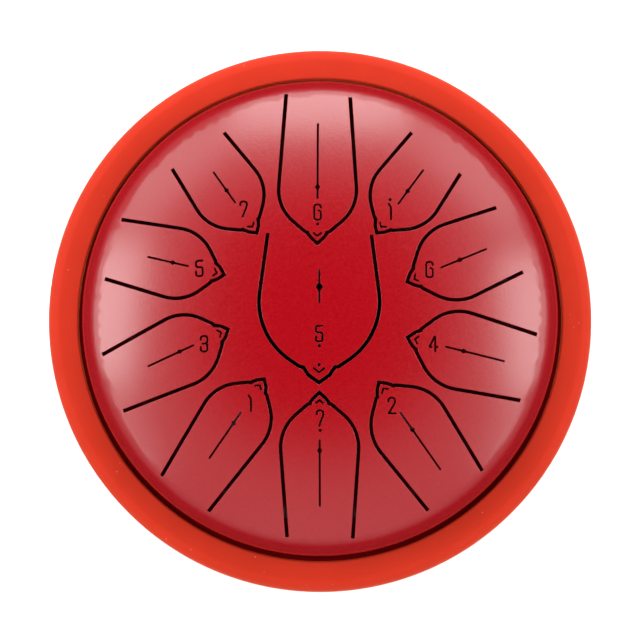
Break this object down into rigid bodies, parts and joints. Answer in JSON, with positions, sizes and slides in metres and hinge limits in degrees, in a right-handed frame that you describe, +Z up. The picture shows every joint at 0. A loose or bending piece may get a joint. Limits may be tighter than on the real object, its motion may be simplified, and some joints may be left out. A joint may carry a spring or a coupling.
{
  "type": "steel tongue drum",
  "caption": "Small round steel tongue drum: domed top with laser-cut sprung tongues, silicone band round the seam, bowl with a sound hole, rubber feet.",
  "frame": {"origin": "on the drum's axis, at the level that its feet stand on", "axes": "+Z up along the drum's axis, +Y towards the root of the low 6 tongue, so numerals read upright from -Y"},
  "size_m": [0.16, 0.16, 0.075],
  "materials": {
    "red_coat": "satin powder coat with fine orange peel",
    "orange_silicone": "matte silicone",
    "black_rubber": "matte",
    "zinc_steel": "zinc plated"
  },
  "bodies": {
    "drum": {"top_shell": "red_coat", "bottom_shell": "red_coat", "seam_weld": "red_coat", "rim_ring": "orange_silicone", "foot_back_right": "black_rubber", "foot_back_left": "black_rubber", "foot_front_left": "black_rubber", "foot_front_right": "black_rubber", "foot_screws": "zinc_steel", "foot_washers": "zinc_steel", "foot_nuts": "zinc_steel"},
    "tongue_low_5": {"tongue_low_5": "red_coat"},
    "tongue_low_6": {"tongue_low_6": "red_coat"},
    "tongue_low_7": {"tongue_low_7": "red_coat"},
    "tongue_1": {"tongue_1": "red_coat"},
    "tongue_2": {"tongue_2": "red_coat"},
    "tongue_3": {"tongue_3": "red_coat"},
    "tongue_4": {"tongue_4": "red_coat"},
    "tongue_5": {"tongue_5": "red_coat"},
    "tongue_6": {"tongue_6": "red_coat"},
    "tongue_7": {"tongue_7": "red_coat"},
    "tongue_high_1": {"tongue_high_1": "red_coat"}
  },
  "joints": [
    {"name": "low_5_flex", "type": "hinge", "parent": "drum", "child": "tongue_low_5", "pos_m": [0.00004, 0.0185, 0.07329], "axis": [-0.9999, 0.014, -0.0011], "range_deg": [-0.5, 0.5], "stiffness_Nm_per_rad": 19.3},
    {"name": "low_6_flex", "type": "hinge", "parent": "drum", "child": "tongue_low_6", "pos_m": [0.00008, 0.06329, 0.0636], "axis": [-0.9999, 0.0157, -0.005], "range_deg": [-0.5, 0.5], "stiffness_Nm_per_rad": 27.2},
    {"name": "low_7_flex", "type": "hinge", "parent": "drum", "child": "tongue_low_7", "pos_m": [-0.00069, -0.0636, 0.06349], "axis": [1, -0.007, 0.0013], "range_deg": [-0.5, 0.5], "stiffness_Nm_per_rad": 28.5},
    {"name": "1_flex", "type": "hinge", "parent": "drum", "child": "tongue_1", "pos_m": [-0.03915, -0.05056, 0.06338], "axis": [0.811, -0.5849, 0.012], "range_deg": [-0.5, 0.5], "stiffness_Nm_per_rad": 26},
    {"name": "2_flex", "type": "hinge", "parent": "drum", "child": "tongue_2", "pos_m": [0.03822, -0.05066, 0.06354], "axis": [0.8181, 0.575, -0.0118], "range_deg": [-0.5, 0.5], "stiffness_Nm_per_rad": 29.8},
    {"name": "3_flex", "type": "hinge", "parent": "drum", "child": "tongue_3", "pos_m": [-0.05925, -0.01846, 0.06404], "axis": [0.3969, -0.9172, 0.0362], "range_deg": [-0.5, 0.5], "stiffness_Nm_per_rad": 29.3},
    {"name": "4_flex", "type": "hinge", "parent": "drum", "child": "tongue_4", "pos_m": [0.05952, -0.01551, 0.06421], "axis": [0.2334, 0.9723, 0.0065], "range_deg": [-0.5, 0.5], "stiffness_Nm_per_rad": 34.6},
    {"name": "5_flex", "type": "hinge", "parent": "drum", "child": "tongue_5", "pos_m": [-0.05912, 0.01985, 0.06393], "axis": [-0.2537, -0.967, 0.0231], "range_deg": [-0.5, 0.5], "stiffness_Nm_per_rad": 30.5},
    {"name": "6_flex", "type": "hinge", "parent": "drum", "child": "tongue_6", "pos_m": [0.05452, 0.02115, 0.0652], "axis": [-0.3859, 0.9225, 0.0084], "range_deg": [-0.5, 0.5], "stiffness_Nm_per_rad": 36.9},
    {"name": "7_flex", "type": "hinge", "parent": "drum", "child": "tongue_7", "pos_m": [-0.03459, 0.04786, 0.06503], "axis": [-0.827, -0.5621, -0.0093], "range_deg": [-0.5, 0.5], "stiffness_Nm_per_rad": 33.6},
    {"name": "high_1_flex", "type": "hinge", "parent": "drum", "child": "tongue_high_1", "pos_m": [0.03331, 0.04579, 0.0658], "axis": [-0.8059, 0.592, -0.0014], "range_deg": [-0.5, 0.5], "stiffness_Nm_per_rad": 31.8}
  ]
}
